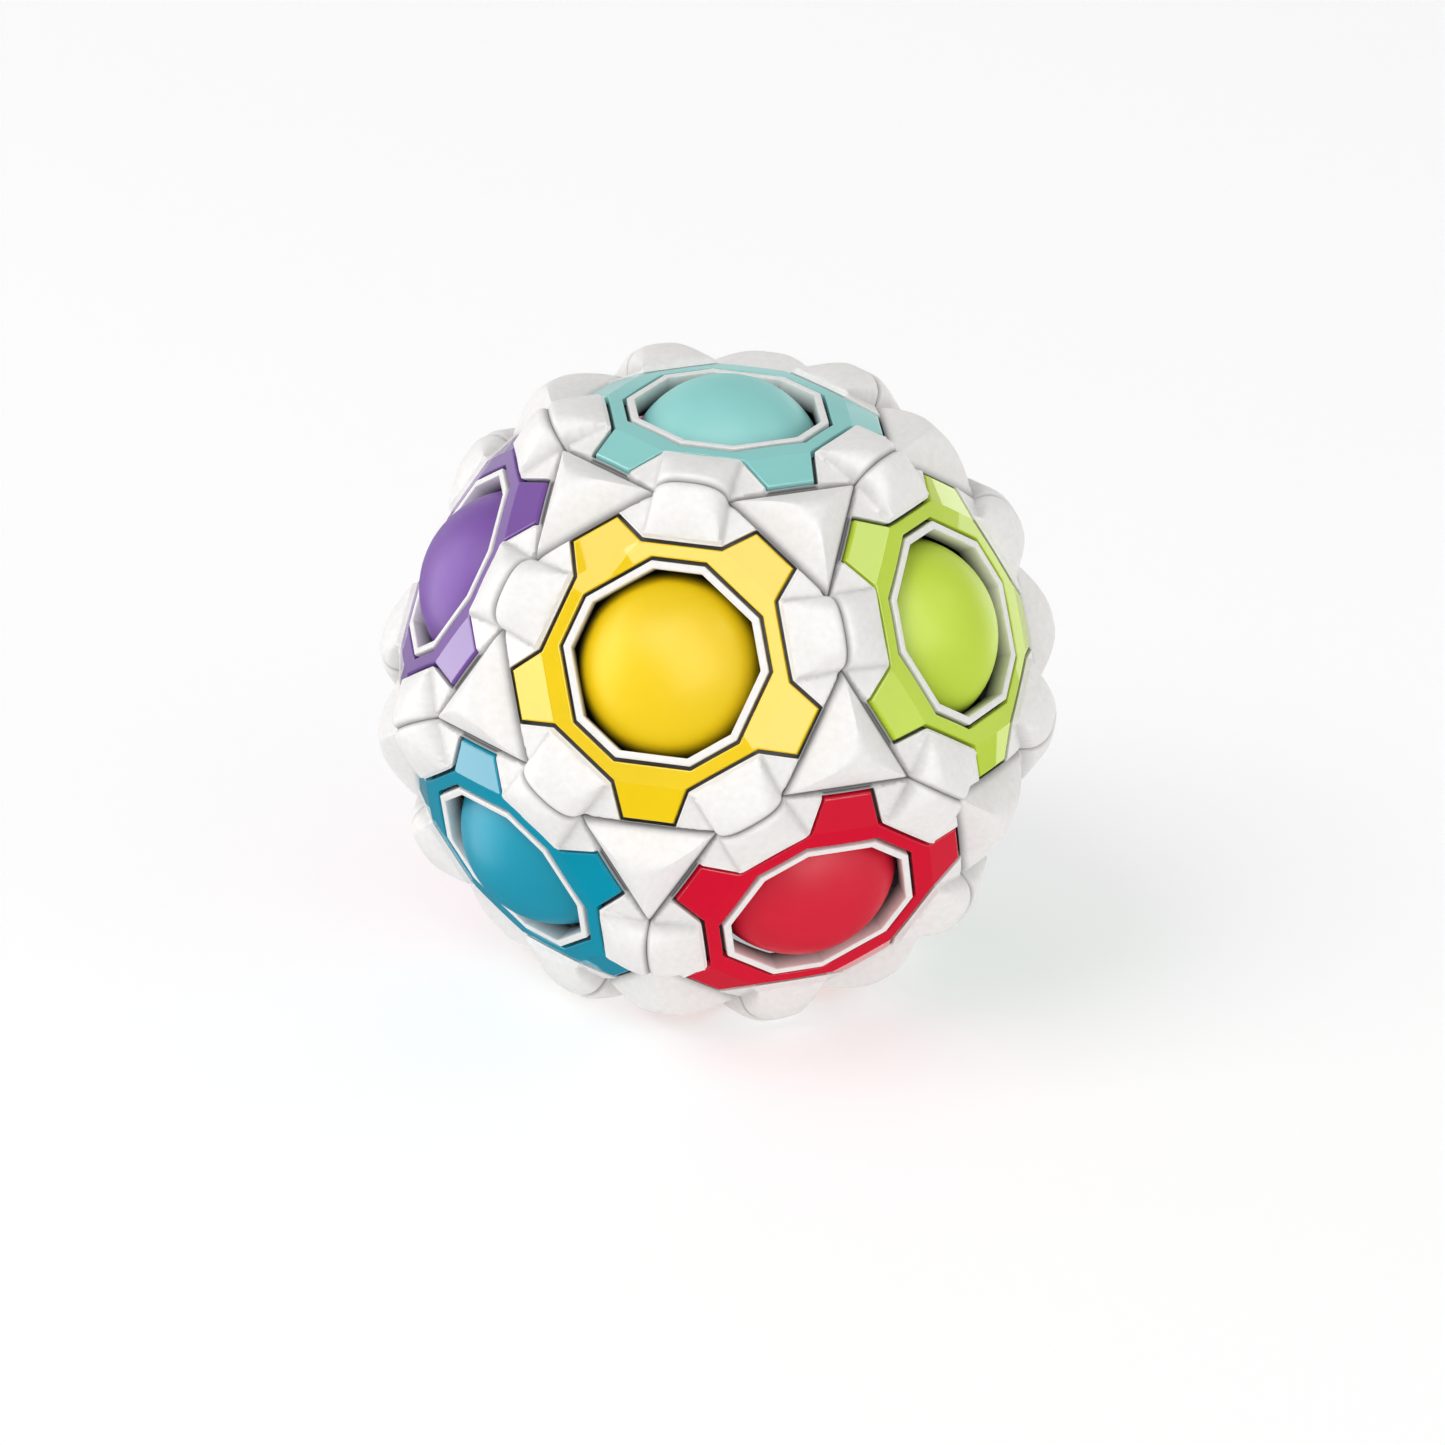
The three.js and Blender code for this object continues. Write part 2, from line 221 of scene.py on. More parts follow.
def rays(uv):
    """Unit directions of points on the plane at height 1."""
    d = at_height(uv, 1)
    return d / np.linalg.norm(d, axis=1)[:, None]


def lowest_along(directions, planes):
    """How far from the centre each ray leaves the convex body that the planes bound."""
    normals = np.array([n for n, _ in planes])
    offsets = np.array([c for _, c in planes])
    slant = directions @ normals.T
    level = 1e-6
    reached = np.where(slant > level, offsets / np.maximum(slant, level), FAR)
    return reached.min(axis=1)


def smooth_min(a, b, k):
    """The smaller of two heights, rounded over where they are within k of each other."""
    h = np.clip(0.5 + 0.5 * (b - a) / k, 0, 1)
    return b * (1 - h) + a * h - k * h * (1 - h)


def smooth_max(a, b, k):
    return -smooth_min(-a, -b, k)


def shade_near(distance, groove):
    """How much painted shade darkens the white at a distance from the bottom of a groove."""
    return groove["shade"] * np.clip(1 - distance / groove["reach"], 0, 1)


def groove_drop(distance, groove):
    """How far the surface has dropped at a distance from the bottom of a groove."""
    return groove["depth"] * (1 - np.clip(distance / groove["reach"], 0, 1)) ** 2


# ---- Building a closed mesh from strips and filled regions ---------------------------------------
class Skin:
    """Strips and fills in millimetres, welded into one mesh at the end."""

    def __init__(self):
        self.points = []
        self.faces = []

    def add(self, points):
        start = len(self.points)
        self.points += [tuple(p) for p in points]
        return start

    def strip(self, loops):
        """Quads between each loop and the next; the loops have as many points as each other."""
        starts = [self.add(loop) for loop in loops]
        count = len(loops[0])
        for a, b in zip(starts, starts[1:]):
            for i in range(count):
                j = (i + 1) % count
                self.faces.append((a + i, a + j, b + j, b + i))

    def close(self, loop):
        """One face over a loop."""
        start = self.add(loop)
        self.faces.append(tuple(range(start, start + len(loop))))

    def fill(self, outer, holes, lift, spacing=None, lines=()):
        """Triangles between flat loops, lifted to their places, with inner points on a grid."""
        chains = [(np.asarray(loop), True) for loop in [outer, *holes]]
        chains += [(np.asarray(line), False) for line in lines]
        flat, edges = [], []
        for chain, closed in chains:
            start, count = len(flat), len(chain)
            flat += list(chain)
            edges += [(start + i, start + i + 1) for i in range(count - 1)]
            edges += [(start + count - 1, start)] if closed else []
        if spacing:
            flat += list(grid_inside(outer, holes, np.array(flat), spacing))
        found = delaunay_2d_cdt([Vector(p) for p in flat], edges, [], 0, 1e-7)
        verts = np.array([tuple(v) for v in found[0]])
        faces = np.array([f for f in found[2] if len(f) == 3])
        middles = verts[faces].mean(axis=1)
        keep = inside(middles, outer)
        for hole in holes:
            keep &= ~inside(middles, hole)
        start = self.add(lift(verts))
        self.faces += [tuple(int(start + i) for i in f) for f in faces[keep]]


def inside(points, loop):
    """Which points are inside a closed loop, by how often a line to the right crosses it."""
    x, y = points[:, :1], points[:, 1:2]
    a, b = loop, np.roll(loop, -1, axis=0)
    spans = (a[:, 1] > y) != (b[:, 1] > y)
    rise = np.where(a[:, 1] == b[:, 1], 1, b[:, 1] - a[:, 1])
    crossing = a[:, 0] + (y - a[:, 1]) * (b[:, 0] - a[:, 0]) / rise
    return (spans & (x < crossing)).sum(axis=1) % 2 == 1


def grid_inside(outer, holes, taken, spacing):
    """A staggered grid inside a region, kept clear of the points already taken."""
    low, high = outer.min(axis=0), outer.max(axis=0)
    rows = np.arange(low[1], high[1], spacing * math.sqrt(3) / 2)
    grid = []
    for n, y in enumerate(rows):
        x = np.arange(low[0] + (n % 2) * spacing / 2, high[0], spacing)
        grid.append(np.column_stack([x, np.full(len(x), y)]))
    grid = np.concatenate(grid)
    grid = grid[inside(grid, outer)]
    for hole in holes:
        grid = grid[~inside(grid, hole)]
    nearest = np.sqrt(((grid[:, None] - taken[None]) ** 2).sum(axis=2)).min(axis=1)
    return grid[nearest > GRID_CLEARANCE * spacing]


def mesh_of(skin, name, sharp_angle=32):
    """The skin's points and faces, welded, facing out, smooth but for edges past a sharp angle."""
    bm = bmesh.new()
    verts = [bm.verts.new(p) for p in skin.points]
    for f in skin.faces:
        bm.faces.new([verts[i] for i in f])
    bmesh.ops.remove_doubles(bm, verts=bm.verts, dist=WELD)
    bmesh.ops.recalc_face_normals(bm, faces=bm.faces)
    limit = math.radians(sharp_angle)
    for edge in bm.edges:
        edge.smooth = len(edge.link_faces) == 2 and edge.calc_face_angle(0) < limit
    for face in bm.faces:
        face.smooth = True
    mesh = bpy.data.meshes.new(name)
    bm.to_mesh(mesh)
    bm.free()
    return mesh


# ---- Outlines of a face, in its own frame ------------------------------------------------------
def tooth_azimuth(k):
    return SIDE_STEP * (k + 0.5)


def bezel_corners():
    """The bezel's opening seen from above: root, tip, tip and root of each tooth in turn."""
    tooth = [(ROOT_RADIUS, -ROOT_HALF_ANGLE), (TIP_RADIUS, -TIP_HALF_ANGLE),
             (TIP_RADIUS, TIP_HALF_ANGLE), (ROOT_RADIUS, ROOT_HALF_ANGLE)]
    return np.array([flat_at(radius, tooth_azimuth(k) + turn) for k in range(5) for radius, turn in tooth])


def dome_height(radius_squared):
    return BEZEL_RIM - (radius_squared - BEZEL_HOLE**2) / (2 * BEZEL_DOME)


FOLD_SLOPE = (dome_height(CREASE**2) - TIP_HEIGHT) / (TIP_REACH - CREASE)


def fold_height(xy):
    """Height of the bezel's top face: a slight dome that folds down past each tooth's crease."""
    radius_squared = (xy**2).sum(axis=1)
    height = dome_height(radius_squared)
    for k in range(5):
        along = xy @ flat_at(1, tooth_azimuth(k))
        beyond = np.maximum(0, along - CREASE)
        at_crease = dome_height(radius_squared - along**2 + CREASE**2)
        height = np.where(beyond > 0, at_crease - FOLD_SLOPE * beyond, height)
    return height


def under_top(xy, depth):
    """Points at a depth under the bezel's top face."""
    return np.column_stack([xy, fold_height(xy) - depth])


def bezel_loop(distance):
    """The outline of the bezel's opening, moved out by a distance."""
    return divided(moved_out(bezel_corners(), distance), BEZEL_SIDES)


def decagon(radius):
    turns = [SIDE_STEP / 2 - COLLAR_LONG_SIDE, SIDE_STEP / 2 + COLLAR_LONG_SIDE]
    corners = [flat_at(radius, SIDE_STEP * k + turn) for k in range(5) for turn in turns]
    return divided(corners, (COLLAR_PIECES,))


def arch_point(k, share):
    """A point on the arch over a side of the panel, from its first node at 0 to its second at 1."""
    up = toward(FACE_TO_SIDE, SIDE_STEP * k)
    across, rise = math.cos(math.pi * share), abs(math.sin(math.pi * share)) ** ARCH_FULLNESS
    across = ARCH_HALF_WIDTH * math.copysign(abs(across) ** ARCH_FULLNESS, across)
    height = ARCH_FOOT + (ARCH_RADIUS - ARCH_FOOT) * rise
    return at(across, SIDE_STEP * k + math.pi / 2, 0) + up * height


def on_plane(point):
    return point[:2] / point[2]


# On the plane at height 1, a panel is bounded by five seam lines and five cap lines.
SEAM_LINE = math.tan(FACE_TO_SIDE)
CAP_LINE = on_plane(arch_point(0, 0)) @ flat_at(1, tooth_azimuth(0))
# Between a cap's axis and its corners, which are nodes.
CORNER_ANGLE = math.acos(
    arch_point(0, 0) @ toward(FACE_TO_CORNER, tooth_azimuth(0)) / GROOVE_RADIUS)


def per_mm(line):
    """How far 1 mm square to a line is, on the plane at height 1."""
    return (1 + line**2) / GROOVE_RADIUS


def border_distance(uv):
    """Distances in mm from each point to the nearest seam line and the nearest cap line."""
    seams, caps = [], []
    for k in range(5):
        seams.append(SEAM_LINE - uv @ flat_at(1, SIDE_STEP * k))
        caps.append(CAP_LINE - uv @ flat_at(1, tooth_azimuth(k)))
    return np.min(seams, axis=0) / per_mm(SEAM_LINE), np.min(caps, axis=0) / per_mm(CAP_LINE)


def border_corners(gap):
    """The panel's ten corners, two at each cap, with every side moved in by a gap in mm."""
    sides = []
    for k in range(5):
        sides.append((SIDE_STEP * k, SEAM_LINE - gap * per_mm(SEAM_LINE)))
        sides.append((tooth_azimuth(k), CAP_LINE - gap * per_mm(CAP_LINE)))
    corners = []
    for i, (azimuth, distance) in enumerate(sides):
        last_azimuth, last_distance = sides[i - 1]
        rows = np.array([flat_at(1, last_azimuth), flat_at(1, azimuth)])
        corners.append(np.linalg.solve(rows, [last_distance, distance]))
    return corners


# ---- The panel's outer surface -----------------------------------------------------------------
def ground_planes():
    """The planes of the low ground round the teeth, as far as the nodes."""
    corners = under_top(bezel_corners(), 0)
    planes = []
    for k in range(5):
        root_a, tip_a, tip_b, root_b = corners[4 * k : 4 * k + 4]
        node_a, node_b = arch_point(k, 0), arch_point((k + 1) % 5, 1)
        next_root = corners[(4 * k + 4) % len(corners)]
        planes += [
            plane_through(root_a, tip_a, node_a),
            plane_through(root_b, tip_b, node_b),
            plane_through(tip_a, tip_b, node_a),
            plane_through(root_a, tip_a, tip_b),
            plane_through(root_b, next_root, arch_point((k + 1) % 5, 0)),
        ]
    return planes


def pillow_planes():
    """The planes of the pillow at azimuth 0: its top, and a fan from each end corner to the arch."""
    ends = [np.array([PILLOW_END["reach"], side * PILLOW_END["half_width"], PILLOW_END["height"]])
            for side in (1, -1)]
    planes = [plane_through(ends[0], ends[1], arch_point(0, 0.5))]
    arch = [arch_point(0, i / PILLOW_FACETS) for i in range(PILLOW_FACETS + 1)]
    for i in range(PILLOW_FACETS):
        apex = ends[0] if i < PILLOW_FACETS / 2 else ends[1]
        planes.append(plane_through(apex, arch[i], arch[i + 1]))
    return planes


def end_slope():
    """The plane that rises from the bezel's level to the pillow's top, at its inner end."""
    normal = toward(-PILLOW_END["slope"], 0)
    foot = np.array([PILLOW_END["reach"] - PILLOW_FOOT, 0, dome_height(CREASE**2) + WHITE_LIFT])
    return normal, normal @ foot


GROUND = ground_planes()
PILLOW = pillow_planes()
SLOPE = end_slope()


def crown_height(x, y):
    """How far a pillow swells over its planes: most in its middle, and nothing at its edges."""
    inner, outer = PILLOW_END["reach"], PILLOW_CROWN["outer_reach"]
    share = np.clip((x - inner) / (outer - inner), 0, 1)
    across = np.clip(1 - (y / PILLOW_CROWN["half_width"]) ** 2, 0, 1)
    return PILLOW_CROWN["height"] * 4 * share * (1 - share) * across


def panel_top(uv):
    """Points of the panel's outer surface over points of the plane at height 1."""
    d = rays(uv)
    height = lowest_along(d, GROUND) + WHITE_LIFT
    for k in range(5):
        local = d @ turn_about_z(SIDE_STEP * k)
        pillow = lowest_along(local, PILLOW)
        pillow = pillow + crown_height(pillow * local[:, 0], pillow * local[:, 1])
        pillow = smooth_min(pillow, lowest_along(local, [SLOPE]), PILLOW_ROUND)
        height = smooth_max(height, pillow, VALLEY_ROUND)
    to_seam, to_cap = border_distance(uv)
    height = height - groove_drop(to_seam, SEAM_GROOVE) - groove_drop(to_cap, CAP_GROOVE)
    return d * height[:, None]


def valley_lines():
    """The lines on the plane from each of the bezel's root corners to its node."""
    roots = moved_out(bezel_corners(), BEAD_REACH)
    heights = fold_height(roots)
    border = border_corners(GROOVE_GAP)
    lines = []
    for k in range(5):
        for root, node in ((4 * k, 2 * k + 1), (4 * k + 3, (2 * k + 2) % 10)):
            a, b = roots[root] / heights[root], border[node]
            steps = range(1, VALLEY_PIECES)
            lines.append(np.array([a + (b - a) * i / VALLEY_PIECES for i in steps]))
    return lines


def seam_lines():
    """Rows of points along each seam side, for an even surface beside its groove."""
    lines = []
    for gap in BORDER_LOOPS[1:]:
        corners = border_corners(gap)
        for k in range(5):
            a, b = corners[2 * k], corners[2 * k + 1]
            count = BORDER_SIDES[0]
            lines.append(np.array([a + (b - a) * i / count for i in range(count + 1)]))
    return lines


def rim(distance):
    """The bezel's opening, moved out by a distance, on the plane at height 1."""
    loop = bezel_loop(distance)
    return loop / fold_height(loop)[:, None]


def bead_loops():
    """Loops over the bead on the white's edge, from its outside to where the pocket's wall starts."""

    def rim_loop(distance, lift):
        points = panel_top(rim(distance))
        length = np.linalg.norm(points, axis=1)[:, None]
        return points * (length + lift) / length

    edge = BEAD["edge"]
    loops = [rim_loop(BEAD_REACH, 0), rim_loop(BEAD_REACH - BEAD["step"], BEAD["height"])]
    for turn in ROUND_TURNS:
        drop = edge * (1 - math.cos(turn))
        loops.append(rim_loop(BEZEL_GAP + edge * (1 - math.sin(turn)), BEAD["height"] - drop))
    return loops


def collar_loops():
    """Loops up the collar's outside, over its rounded top and down to the top of its inside."""
    profile = [(COLLAR_OUTER, BEZEL_RIM - POCKET_DEPTH)]
    for turn in ROUND_TURNS:
        drop = COLLAR_EDGE * (1 - math.sin(turn))
        profile.append((COLLAR_OUTER - COLLAR_EDGE * (1 - math.cos(turn)), COLLAR_TOP - drop))
    for turn in ROUND_TURNS[::-1]:
        drop = COLLAR_EDGE * (1 - math.sin(turn))
        profile.append((COLLAR_INNER + COLLAR_EDGE * (1 - math.cos(turn)), COLLAR_TOP - drop))
    return [at_height(decagon(radius), height) for radius, height in profile]


def panel_mesh():
    skin = Skin()
    border = divided(border_corners(GROOVE_GAP), BORDER_SIDES)
    skin.fill(border, [rim(BEAD_REACH)], panel_top, spacing=PANEL_GRID,
              lines=valley_lines() + seam_lines())

    def pocket_floor(xy):
        return under_top(xy, POCKET_DEPTH)

    wall = bezel_loop(BEZEL_GAP)
    skin.strip([*bead_loops(), pocket_floor(wall)])
    skin.fill(wall, [decagon(COLLAR_OUTER)], pocket_floor)
    hole = decagon(COLLAR_INNER)
    hole_height = np.sqrt(INNER_RADIUS**2 - (hole**2).sum(axis=1))
    skin.strip([*collar_loops(), np.column_stack([hole, hole_height])])

    def inner(uv):
        return rays(uv) * INNER_RADIUS

    skin.fill(border, [hole / hole_height[:, None]], inner, spacing=INSIDE_GRID)
    skin.strip([panel_top(border), inner(border)])
    for k in range(5):
        tongue(skin, k)
    mesh = mesh_of(skin, "panel")
    shade_panel(mesh)
    return mesh


def tongue(skin, k):
    """The corner of a panel that reaches under a cap, as far as the rivet's hole."""
    turn = np.array(turn_to(toward(FACE_TO_CORNER, tooth_azimuth(k)),
                            toward(FACE_TO_SIDE, SIDE_STEP * k)))[:3, :3]
    reach = math.tan(CORNER_ANGLE) * TONGUE_OVERLAP
    outline = [flat_at(reach, turned) for turned in np.radians([0, 120])]
    outline += [flat_at(RIVET["hole"] / CAP_SEAT, turned) for turned in TONGUE_TURNS]
    d = rays(divided(outline, (6, 2)))
    loops = [(d * radius) @ turn.T for radius in (CAP_SEAT - TONGUE_GAP, INNER_RADIUS)]
    skin.strip(loops)
    for loop in loops:
        skin.close(loop)


def store_shade(mesh, values):
    """Keeps how much painted shade each point gets, from 0 to 1, in the attribute groove, for the material to
    darken.
    """
    attribute = mesh.attributes.new("groove", "FLOAT", "POINT")
    attribute.data.foreach_set("value", np.asarray(values, np.float32))


def points_of(mesh):
    flat = np.empty(3 * len(mesh.vertices))
    mesh.vertices.foreach_get("co", flat)
    return flat.reshape(-1, 3)


def distance_to_line(points, a, b):
    """Distances from points of the plane to the stretch between two of its points."""
    share = np.clip((points - a) @ (b - a) / ((b - a) @ (b - a)), 0, 1)
    return np.linalg.norm(points - a - share[:, None] * (b - a), axis=1)


def shade_panel(mesh):
    """Paints shade into the grooves, the valleys beside the pillows, the nodes, the pocket and the wall of the
    hole.
    """
    points = points_of(mesh)
    uv = points[:, :2] / points[:, 2:]
    to_seam, to_cap = border_distance(uv)
    shade = shade_near(np.minimum(to_seam, to_cap), GROOVE_SHADE)
    for line in valley_lines():
        away = distance_to_line(uv, line[0], line[-1]) / per_mm(SEAM_LINE)
        shade = np.maximum(shade, shade_near(away, VALLEY_SHADE))
    # Painted shade: a dark dot at each node, where three grooves meet.
    for corner in border_corners(0):
        away = np.linalg.norm(uv - corner, axis=1) / per_mm(SEAM_LINE)
        shade = np.maximum(shade, shade_near(away, NODE_SHADE))
    # Painted shade: the pocket and the wall of the hole go dark with depth, all but the collar's top.
    radius = np.linalg.norm(points[:, :2], axis=1)
    sunk = (fold_height(points[:, :2]) - points[:, 2]) / POCKET_DEPTH
    in_pocket = inside(points[:, :2], bezel_loop(BEZEL_GAP + SLACK))
    collar_top = (radius < COLLAR_OUTER + SLACK) & (points[:, 2] > COLLAR_LIGHT_FROM)
    shade = np.where(in_pocket & ~collar_top, np.clip(sunk * POCKET_SHADE_RATE, 0, 1), shade)
    store_shade(mesh, shade)


# ---- The other pieces' shapes ------------------------------------------------------------------
def bezel_mesh():
    skin = Skin()

    def top(xy):
        return under_top(xy, 0)

    def bottom(xy):
        return under_top(xy, BEZEL_THICKNESS)

    def rolled_loops(flat_loop, outward):
        loops = []
        for turn in ROUND_TURNS:
            xy = flat_loop(outward * -BEZEL_EDGE * (1 - math.sin(turn)))
            loops.append(under_top(xy, BEZEL_EDGE * (1 - math.cos(turn))))
        return [*loops, bottom(flat_loop(0))]

    def outline(distance):
        return bezel_loop(distance - BEZEL_INSET)

    def hole(distance):
        return decagon(BEZEL_HOLE + distance)

    creases = []
    reach = ROOT_RADIUS * math.sin(ROOT_HALF_ANGLE) - BEZEL_INSET - BEZEL_EDGE - CREASE_MARGIN
    for k in range(5):
        out, along = (flat_at(1, tooth_azimuth(k) + turn) for turn in (0, math.pi / 2))
        steps = np.linspace(-reach, reach, CREASE_POINTS)
        creases.append(np.array([out * CREASE + along * step for step in steps]))
    skin.fill(outline(-BEZEL_EDGE), [hole(BEZEL_EDGE)], top, spacing=BEZEL_GRID, lines=creases)
    skin.strip(rolled_loops(outline, 1))
    skin.strip(rolled_loops(hole, -1))
    skin.fill(outline(0), [hole(0)], bottom)
    mesh = mesh_of(skin, "bezel", sharp_angle=40)
    smooth_top(mesh)
    return mesh


def top_normal(xy, part):
    """Which way the bezel's top faces, on the ring or on one of the teeth, numbered from 0."""
    normal = at(0, 0, 1) + np.append(xy, 0) / BEZEL_DOME
    if part != "ring":
        out = at(1, tooth_azimuth(part), 0)
        normal = normal + out * (FOLD_SLOPE - normal @ out)
    return normal / np.linalg.norm(normal)


def part_of_top(middle):
    """Which part of the bezel's top a point is on: its ring or the number of a tooth."""
    reach = [middle @ flat_at(1, tooth_azimuth(k)) for k in range(5)]
    return int(np.argmax(reach)) if max(reach) > CREASE else "ring"


def smooth_top(mesh):
    """Gives the bezel's top its exact normals, with sharp creases, so that reflections run clean."""
    normals = np.zeros((len(mesh.loops), 3))
    points = points_of(mesh)
    on_top = np.abs(points[:, 2] - fold_height(points[:, :2])) < TOP_SLACK
    parts_beside = {}
    for face in mesh.polygons:
        corners = list(face.vertices)
        part = "side"
        if on_top[corners].all():
            part = part_of_top(points[corners, :2].mean(axis=0))
            for loop, corner in zip(face.loop_indices, corners):
                normals[loop] = top_normal(points[corner, :2], part)
        for key in face.edge_keys:
            parts_beside.setdefault(key, set()).add(part)
    for edge in mesh.edges:
        if len(parts_beside[edge.key]) > 1:
            edge.use_edge_sharp = True
    mesh.normals_split_custom_set(normals)


def rivet(skin):
    """The rivet under a cap: a shank with a headed, tapered end."""
    profile = [
        (RIVET["radius"], CAP_SEAT + RIVET_OVERLAP),
        (RIVET["radius"], RIVET_HEAD_TOP),
        (RIVET["head"], RIVET_HEAD_TOP),
        (RIVET["head"], RIVET_HEAD_BOTTOM),
        (RIVET["end"], RIVET_END),
    ]
    turns = np.linspace(0, 2 * math.pi, RIVET_SIDES, endpoint=False)
    circle = np.array([flat_at(1, turn) for turn in turns])
    loops = [at_height(circle * radius, height) for radius, height in profile]
    skin.strip(loops)
    skin.close(loops[0])
    skin.close(loops[-1])


def cap_mesh():
    skin = Skin()
    base = GROOVE_RADIUS * math.cos(CORNER_ANGLE)
    side = math.tan(CORNER_ANGLE) / 2

    def from_sides(uv):
        turns = np.radians([60, 180, 300])
        return np.array([side - uv @ flat_at(1, turn) for turn in turns])

    def top(uv):
        away = from_sides(uv)
        a, b, c = np.sin(np.clip(away / side, 0, 1) * math.pi / 2)
        dome = CAP_RISE * smooth_min(smooth_min(a, b, CAP_RIDGE), c, CAP_RIDGE)
        height = base + dome - groove_drop(away.min(axis=0) / per_mm(side), CAP_GROOVE)
        return np.column_stack([uv * base, height])

    corners = np.array([flat_at(2 * side, turn) for turn in np.radians([0, 120, 240])])
    rows = [divided(corners * (1 - gap * per_mm(side) / side), BORDER_SIDES[1:])
            for gap in BORDER_LOOPS]
    border = rows[0]
    skin.strip([top(row) for row in rows])
    skin.fill(rows[-1], [], top, spacing=CAP_GRID)

    def seat(uv):
        return at_height(uv, 1) * CAP_SEAT

    skin.strip([top(border), seat(border)])
    skin.fill(border, [], seat)
    rivet(skin)
    mesh = mesh_of(skin, "cap")
    uv = points_of(mesh)[:, :2] / base
    # Painted shade in the groove round the cap, and a dark dot at each corner where three grooves meet.
    shade = shade_near(from_sides(uv).min(axis=0) / per_mm(side), GROOVE_SHADE)
    for corner in corners:
        away = np.linalg.norm(uv - corner, axis=1) / per_mm(side)
        shade = np.maximum(shade, shade_near(away, NODE_SHADE))
    store_shade(mesh, shade)
    return mesh


def sphere_mesh(name, radius, moved):
    """A smooth sphere with each of its points taken to where a function moves it."""
    bm = bmesh.new()
    bmesh.ops.create_icosphere(bm, subdivisions=SPHERE_DETAIL, radius=radius)
    for v in bm.verts:
        v.co = moved(v.co)
    for f in bm.faces:
        f.smooth = True
    mesh = bpy.data.meshes.new(name)
    bm.to_mesh(mesh)
    bm.free()
    return mesh


def ball_mesh():
    """A ball with a fine parting line, with painted shade round the edge of the part that shows, for the shadow in
    the hole, and painted near-black all over its back.
    """

    def with_parting_line(point):
        away = point.z / PARTING_LINE["half_width"]
        return point * (1 + PARTING_LINE["rise"] * math.exp(-(away**2)))

    mesh = sphere_mesh("ball", BALL_RADIUS, with_parting_line)
    points = points_of(mesh)
    radius = np.linalg.norm(points[:, :2], axis=1)
    share = np.clip((radius - BALL_SHADE_FROM) / (BALL_SHADE_TO - BALL_SHADE_FROM), 0, 1)
    # Painted shade: rising towards the hole's edge on the front half, and full on the back half.
    store_shade(mesh, np.where(points[:, 2] > 0, share**BALL_SHADE_POWER, 1))
    return mesh


def core_mesh(ball_place):
    """The soft core, with a dent where the ball that is pushed in presses on it."""
    reach = BALL_RADIUS + DENT_GAP

    def dented(point):
        direction = point.normalized()
        along = direction.dot(ball_place)
        inside_root = along**2 - ball_place.length_squared + reach**2
        if along <= 0 or inside_root <= 0:
            return point
        return direction * min(CORE_RADIUS, along - math.sqrt(inside_root))

    return sphere_mesh("core", CORE_RADIUS, dented)


# ---- Materials ---------------------------------------------------------------------------------
def node_material(name):
    material = bpy.data.materials.new(name)
    material.use_nodes = True
    nodes = material.node_tree.nodes
    return material, nodes, material.node_tree.links, nodes["Principled BSDF"]


def noise(nodes, links, scale, detail=3.0):
    """A noise texture in the frame's metres; scale is how many features there are to a metre."""
    place = nodes.new("ShaderNodeTexCoord")
    texture = nodes.new("ShaderNodeTexNoise")
    texture.inputs["Scale"].default_value = scale
    texture.inputs["Detail"].default_value = detail
    links.new(place.outputs["Object"], texture.inputs["Vector"])
    return texture


def ramp(nodes, links, source, stops):
    """A colour ramp over a source's value, from stops of (position, colour)."""
    made = nodes.new("ShaderNodeValToRGB")
    elements = made.color_ramp.elements
    for _ in stops[2:]:
        elements.new(1)
    for element, (position, colour) in zip(elements, stops):
        element.position = position
        element.color = (*colour, 1)
    links.new(source, made.inputs["Fac"])
    return made


def grain(nodes, links, shader, scale, strength, depth):
    """A fine moulded grain in the shading; depth is in metres."""
    bump = nodes.new("ShaderNodeBump")
    bump.inputs["Strength"].default_value = strength
    bump.inputs["Distance"].default_value = depth
    links.new(noise(nodes, links, scale, 4.0).outputs["Fac"], bump.inputs["Height"])
    links.new(bump.outputs["Normal"], shader.inputs["Normal"])


def with_painted_shade(nodes, links, colour, dark):
    """A colour that goes over to a dark one where the mesh's stored painted shade says so."""
    shade = nodes.new("ShaderNodeAttribute")
    shade.attribute_name = "groove"
    mix = nodes.new("ShaderNodeMix")
    mix.data_type = "RGBA"
    mix.inputs["B"].default_value = (*dark, 1)
    links.new(shade.outputs["Fac"], mix.inputs["Factor"])
    links.new(colour, mix.inputs["A"])
    return mix.outputs["Result"]


def white_plastic():
    """Satin white plastic with a fine mottle, and painted shade down in the grooves, valleys, nodes, pockets and
    hole walls, as the mesh keeps it.
    """
    material, nodes, links, shader = node_material("white_shell")
    tone = ramp(nodes, links, noise(nodes, links, 1400).outputs["Fac"],
                [(0.3, (0.84, 0.82, 0.80)), (0.7, (0.89, 0.875, 0.86))])
    # The near-black that the painted shade goes over to.
    tone_with_painted_shade = with_painted_shade(nodes, links, tone.outputs["Color"], (0.07, 0.07, 0.075))
    links.new(tone_with_painted_shade, shader.inputs["Base Color"])
    rough = ramp(nodes, links, noise(nodes, links, 900).outputs["Fac"],
                 [(0.3, (0.5,) * 3), (0.7, (0.62,) * 3)])
    links.new(rough.outputs["Color"], shader.inputs["Roughness"])
    grain(nodes, links, shader, scale=1300, strength=0.35, depth=0.00008)
    return material


